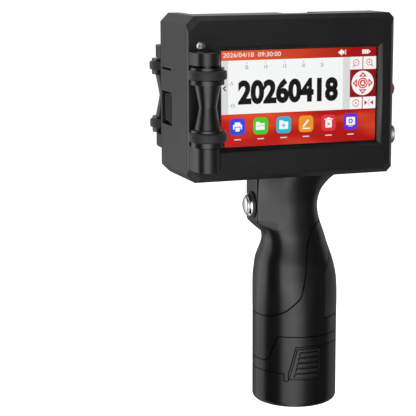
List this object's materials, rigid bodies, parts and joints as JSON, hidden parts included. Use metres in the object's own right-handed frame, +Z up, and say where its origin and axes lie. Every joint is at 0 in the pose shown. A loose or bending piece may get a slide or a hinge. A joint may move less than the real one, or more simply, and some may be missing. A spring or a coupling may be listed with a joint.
{
  "type": "date code inkjet printer",
  "caption": "Handheld date code inkjet printer: screen head with guide rollers and cartridge bay on a round pistol grip with a slide-out battery",
  "frame": {"origin": "centre of the flat base of the battery, which the printer stands on; the round grip is concentric with the Z axis", "axes": "+Z up through the grip, -Y the way the screen faces, -X the way the print face and rollers face"},
  "size_m": [0.1346, 0.0922, 0.2297],
  "materials": {
    "shell": "fine moulded texture, satin black",
    "grip": "moulded satin black",
    "rubber": "soft matt rubber",
    "chrome": "polished plating",
    "steel": "turned and brushed",
    "red_button": "glossy red moulding",
    "screen": "flat touch glass with a lit display behind",
    "circuit": "solder mask over copper",
    "cartridge_shell": "moulded satin black",
    "label": "printed film",
    "contacts": "gold plating",
    "cell_wrap": "shrink wrap over a can"
  },
  "bodies": {
    "printer": {"main_housing": "shell", "front_panel": "shell", "front_bracket_upper": "shell", "front_bracket_lower": "shell", "rear_bracket_upper": "shell", "rear_bracket_lower": "shell", "encoder_cap": "shell", "contact_block": "shell", "power_button_bezel": "shell", "terminal_block": "shell", "grip_shell": "grip", "grip_sleeve": "grip", "battery_collar": "grip", "encoder_sensor": "grip", "charge_socket_insert": "grip", "trigger_switch": "grip", "grip_backstrap": "rubber", "trigger_bezel": "chrome", "charge_socket": "chrome", "panel_screw": "chrome", "front_bush_upper": "steel", "front_bush_lower": "steel", "rear_bush_upper": "steel", "rear_bush_lower": "steel", "handle_screw_left": "steel", "handle_screw_right": "steel", "latch_pin": "steel", "charge_socket_nut": "steel", "lcd_panel": "steel", "touch_glass": "screen", "main_board": "circuit"},
    "front_roller": {"front_roller_hub": "grip", "front_band_upper": "rubber", "front_band_lower": "rubber", "front_roller_axle": "steel", "encoder_disc": "steel"},
    "rear_roller": {"rear_roller_hub": "grip", "rear_band_upper": "rubber", "rear_band_lower": "rubber", "rear_roller_axle": "steel"},
    "cartridge": {"cartridge_body": "cartridge_shell", "cartridge_label": "label", "cartridge_nozzle_plate": "contacts", "cartridge_contact_pads": "contacts"},
    "latch": {"cartridge_latch": "grip"},
    "power_button": {"power_button_cap": "red_button"},
    "trigger": {"trigger_button": "chrome"},
    "battery": {"battery_case": "grip", "battery_cell_1": "cell_wrap", "battery_cell_2": "cell_wrap", "battery_cell_3": "cell_wrap", "battery_contact_plate": "circuit"},
    "release_front": {"release_button_front": "grip"},
    "release_rear": {"release_button_rear": "grip"}
  },
  "joints": [
    {"name": "front_roller_spin", "type": "hinge", "parent": "printer", "child": "front_roller", "pos_m": [-0.0668, -0.0355, 0.18115], "axis": [0, 0, 1], "continuous": true},
    {"name": "rear_roller_spin", "type": "hinge", "parent": "printer", "child": "rear_roller", "pos_m": [-0.0668, 0.0355, 0.18115], "axis": [0, 0, 1], "continuous": true},
    {"name": "trigger_press", "type": "slide", "parent": "printer", "child": "trigger", "axis": [1, 0, 0], "range_m": [0, 0.0015], "stiffness_N_per_m": 1200, "springref_m": -0.0005},
    {"name": "power_press", "type": "slide", "parent": "printer", "child": "power_button", "axis": [-1, 0, 0], "range_m": [0, 0.001], "stiffness_N_per_m": 1500, "springref_m": -0.0005},
    {"name": "cartridge_tilt", "type": "hinge", "parent": "printer", "child": "cartridge", "pos_m": [-0.0718, 0.0122, 0.1875], "axis": [0, -1, 0], "range_deg": [0, 25]},
    {"name": "latch_swing", "type": "hinge", "parent": "printer", "child": "latch", "pos_m": [0.0167, 0.0122, 0.2015], "axis": [0, 1, 0], "range_deg": [0, 7], "stiffness_Nm_per_rad": 0.3, "springref_deg": -2.86},
    {"name": "battery_slide", "type": "slide", "parent": "printer", "child": "battery", "axis": [0, 0, -1], "range_m": [0, 0.055]},
    {"name": "release_press_front", "type": "slide", "parent": "battery", "child": "release_front", "axis": [0, 1, 0], "range_m": [0, 0.0012], "stiffness_N_per_m": 1000, "springref_m": -0.0005},
    {"name": "release_press_rear", "type": "slide", "parent": "battery", "child": "release_rear", "axis": [0, -1, 0], "range_m": [0, 0.0012], "stiffness_N_per_m": 1000, "springref_m": -0.0005}
  ]
}
